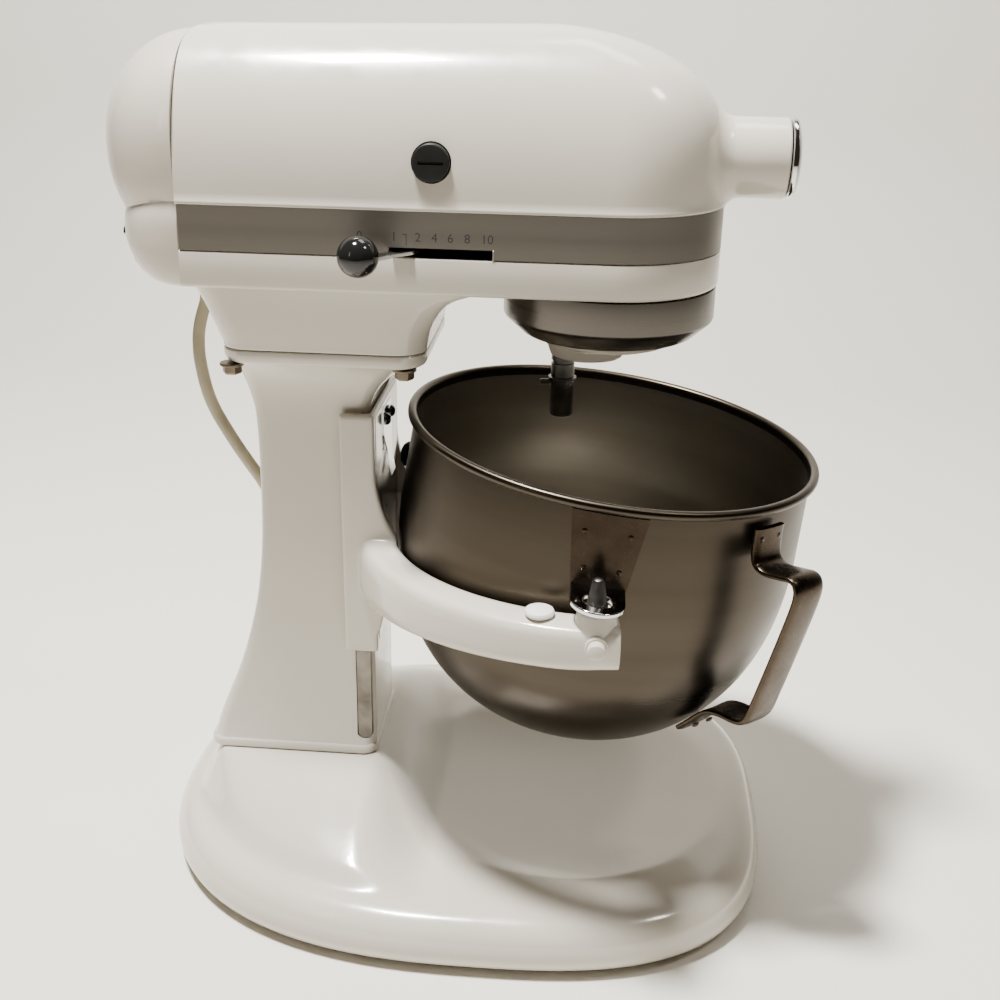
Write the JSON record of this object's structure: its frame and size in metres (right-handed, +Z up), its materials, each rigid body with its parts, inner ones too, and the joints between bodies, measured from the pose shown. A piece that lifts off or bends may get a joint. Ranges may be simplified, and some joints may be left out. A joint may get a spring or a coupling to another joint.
{
  "type": "stand mixer",
  "caption": "Bowl-lift stand mixer: a long enamelled motor head on a column and dished base, with a steel bowl hung on the arms of a sliding support.",
  "frame": {"origin": "bottom centre of the mixer without its cord, on the table", "axes": "+X towards the nose and attachment hub, +Y to the mixer's left when it faces away, +Z up"},
  "size_m": [0.3479, 0.4121, 0.4299],
  "materials": {
    "enamel": "glossy warm white enamel",
    "cover_enamel": "glossy enamel, slightly warmer than the housings",
    "brushed_band": "brushed lengthwise",
    "chrome": "polished",
    "steel": "machined",
    "dark_steel": "dark, slightly oiled",
    "carbon": "moulded carbon",
    "bowl_steel": "fine satin, brushed round",
    "cast_metal": "laminated or sintered iron",
    "armature_metal": "iron core with copper windings",
    "worm_wheel_bronze": "machined bronze",
    "black_gloss": "polished black phenolic",
    "black_plastic": "moulded black",
    "rubber": "moulded rubber",
    "nylon": "white nylon",
    "cord_vinyl": "beige vinyl sheath"
  },
  "bodies": {
    "stand": {"base": "enamel", "foot_1": "rubber", "foot_2": "rubber", "foot_3": "rubber", "foot_4": "rubber", "foot_5": "rubber", "column": "enamel", "rail_near": "steel", "rail_far": "steel", "flange_screw_1": "steel", "flange_screw_2": "steel", "flange_screw_3": "steel", "flange_screw_4": "steel", "lower_housing": "enamel", "upper_housing": "enamel", "rear_cover": "cover_enamel", "rear_cover_screw": "chrome", "trim_band": "brushed_band", "drip_ring": "chrome", "ring_gear": "cast_metal", "brush_cap_near": "black_plastic", "brush_cap_far": "black_plastic", "carbon_brush_near": "carbon", "carbon_brush_far": "carbon", "stator": "cast_metal", "strain_relief": "black_plastic", "cord": "cord_vinyl", "cord_coil": "cord_vinyl", "plug": "black_plastic"},
    "motor": {"armature": "armature_metal"},
    "worm_gear": {"worm_wheel": "worm_wheel_bronze"},
    "planetary_head": {"planetary": "enamel", "centre_shaft": "steel"},
    "beater_drive": {"beater_shaft": "steel", "planet_pinion": "steel", "beater_pin": "dark_steel"},
    "hub_shaft": {"hub_drive": "steel"},
    "hub_cover": {"hub_cap": "chrome"},
    "hub_screw": {"thumb_screw": "black_gloss"},
    "speed_control": {"speed_lever": "chrome", "speed_knob": "black_gloss"},
    "bowl_carrier": {"bowl_support": "enamel", "latch_spring": "steel", "latch_screw_1": "black_gloss", "latch_screw_2": "black_gloss", "locating_pin_near": "steel", "locating_pin_far": "steel", "pin_stud_near": "enamel", "pin_stud_far": "enamel", "arm_bumper_near": "nylon", "arm_bumper_far": "nylon"},
    "mixing_bowl": {"bowl": "bowl_steel", "bowl_ear_near": "chrome", "bowl_ear_far": "chrome", "bowl_handle": "bowl_steel", "bowl_rear_hook": "black_plastic"},
    "lift_control": {"lift_lever": "chrome", "lift_knob": "black_gloss"}
  },
  "joints": [
    {"name": "motor_spin", "type": "hinge", "parent": "stand", "child": "motor", "pos_m": [-0.07508, 0, 0.3737], "axis": [1, 0, 0], "continuous": true},
    {"name": "worm_gear_spin", "type": "hinge", "parent": "stand", "child": "worm_gear", "pos_m": [0.0168, 0.0245, 0.345], "axis": [0, 0, 1], "continuous": true},
    {"name": "planetary_spin", "type": "hinge", "parent": "stand", "child": "planetary_head", "pos_m": [0.06492, 0, 0.3], "axis": [0, 0, 1], "continuous": true},
    {"name": "beater_spin", "type": "hinge", "parent": "planetary_head", "child": "beater_drive", "pos_m": [0.04392, 0, 0.28], "axis": [0, 0, 1], "continuous": true},
    {"name": "hub_drive_spin", "type": "hinge", "parent": "stand", "child": "hub_shaft", "pos_m": [0.11492, 0, 0.3737], "axis": [1, 0, 0], "continuous": true},
    {"name": "hub_cap_pull", "type": "slide", "parent": "stand", "child": "hub_cover", "axis": [1, 0, 0], "range_m": [0, 0.025]},
    {"name": "thumb_screw_turn", "type": "hinge", "parent": "stand", "child": "hub_screw", "pos_m": [0.13292, 0.02, 0.3737], "axis": [0, 1, 0], "continuous": true},
    {"name": "speed_lever_swing", "type": "hinge", "parent": "stand", "child": "speed_control", "pos_m": [-0.00508, -0.019, 0.3346], "axis": [0, 0, 1], "range_deg": [0, 56]},
    {"name": "bowl_lift", "type": "slide", "parent": "stand", "child": "bowl_carrier", "axis": [0, 0, 1], "range_m": [-0.048, 0]},
    {"name": "lift_lever_turn", "type": "hinge", "parent": "stand", "child": "lift_control", "pos_m": [-0.07808, 0.04, 0.178], "axis": [0, 1, 0], "range_deg": [-91, 1]},
    {"name": "bowl_tilt", "type": "hinge", "parent": "bowl_carrier", "child": "mixing_bowl", "pos_m": [0.06592, 0, 0.199], "axis": [0, 1, 0], "range_deg": [-6.9, 0]}
  ],
  "couplings": [
    {"joint": "worm_gear_spin", "follows": "motor_spin", "ratio": 0.05},
    {"joint": "planetary_spin", "follows": "motor_spin", "ratio": -0.019231},
    {"joint": "beater_spin", "follows": "motor_spin", "ratio": 0.057692},
    {"joint": "hub_drive_spin", "follows": "motor_spin", "ratio": -0.04251},
    {"joint": "lift_lever_turn", "follows": "bowl_lift", "rad_per_m": 32.7}
  ]
}
